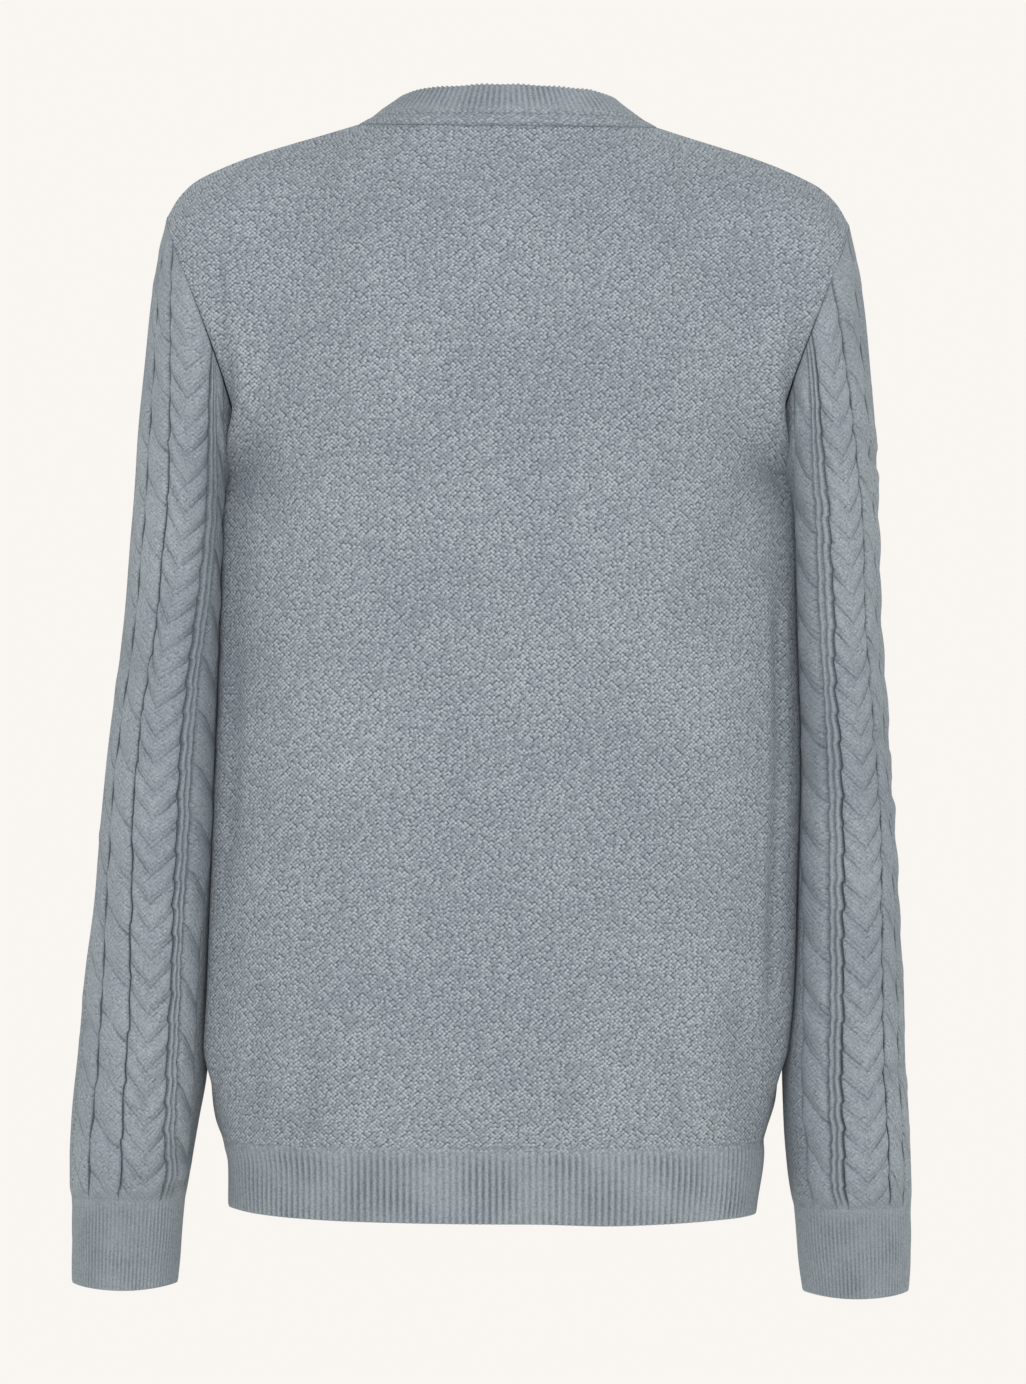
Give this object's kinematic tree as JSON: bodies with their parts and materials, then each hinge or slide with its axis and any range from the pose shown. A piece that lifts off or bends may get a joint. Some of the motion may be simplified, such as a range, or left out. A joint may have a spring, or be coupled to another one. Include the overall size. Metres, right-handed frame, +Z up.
{
  "type": "cable knit cardigan",
  "caption": "Closed crew-neck cardigan in moss-stitch knit with cabled set-in sleeves, ribbed neckband, cuffs and hem, hollow as worn.",
  "frame": {"origin": "middle of the neck, level with the back neck seam, where the wearer holds the garment up", "axes": "+Z up along the body, +Y out of the garment's front, +X to the wearer's right"},
  "size_m": [0.5045, 0.2402, 0.7219],
  "materials": {
    "back_knit": "blue-grey wool-blend knit",
    "front_left_knit": "blue-grey wool-blend knit",
    "front_right_knit": "blue-grey wool-blend knit",
    "sleeve_left_knit": "blue-grey wool-blend knit",
    "sleeve_right_knit": "blue-grey wool-blend knit",
    "cuff_left_rib": "blue-grey wool-blend knit",
    "cuff_right_rib": "blue-grey wool-blend knit",
    "hem_rib": "blue-grey wool-blend knit",
    "neckband_rib": "blue-grey wool-blend knit",
    "button_band_rib": "blue-grey wool-blend knit",
    "buttonhole_band_rib": "blue-grey wool-blend knit",
    "button_1_resin": "polished resin",
    "button_2_resin": "polished resin",
    "button_3_resin": "polished resin",
    "button_4_resin": "polished resin",
    "button_5_resin": "polished resin",
    "button_6_resin": "polished resin"
  },
  "bodies": {
    "root": {"back": "back_knit", "front_left": "front_left_knit", "front_right": "front_right_knit", "sleeve_left": "sleeve_left_knit", "sleeve_right": "sleeve_right_knit", "cuff_left": "cuff_left_rib", "cuff_right": "cuff_right_rib", "hem_band": "hem_rib", "neckband": "neckband_rib", "button_band": "button_band_rib", "buttonhole_band": "buttonhole_band_rib", "button_1": "button_1_resin", "button_2": "button_2_resin", "button_3": "button_3_resin", "button_4": "button_4_resin", "button_5": "button_5_resin", "button_6": "button_6_resin"}
  },
  "joints": []
}
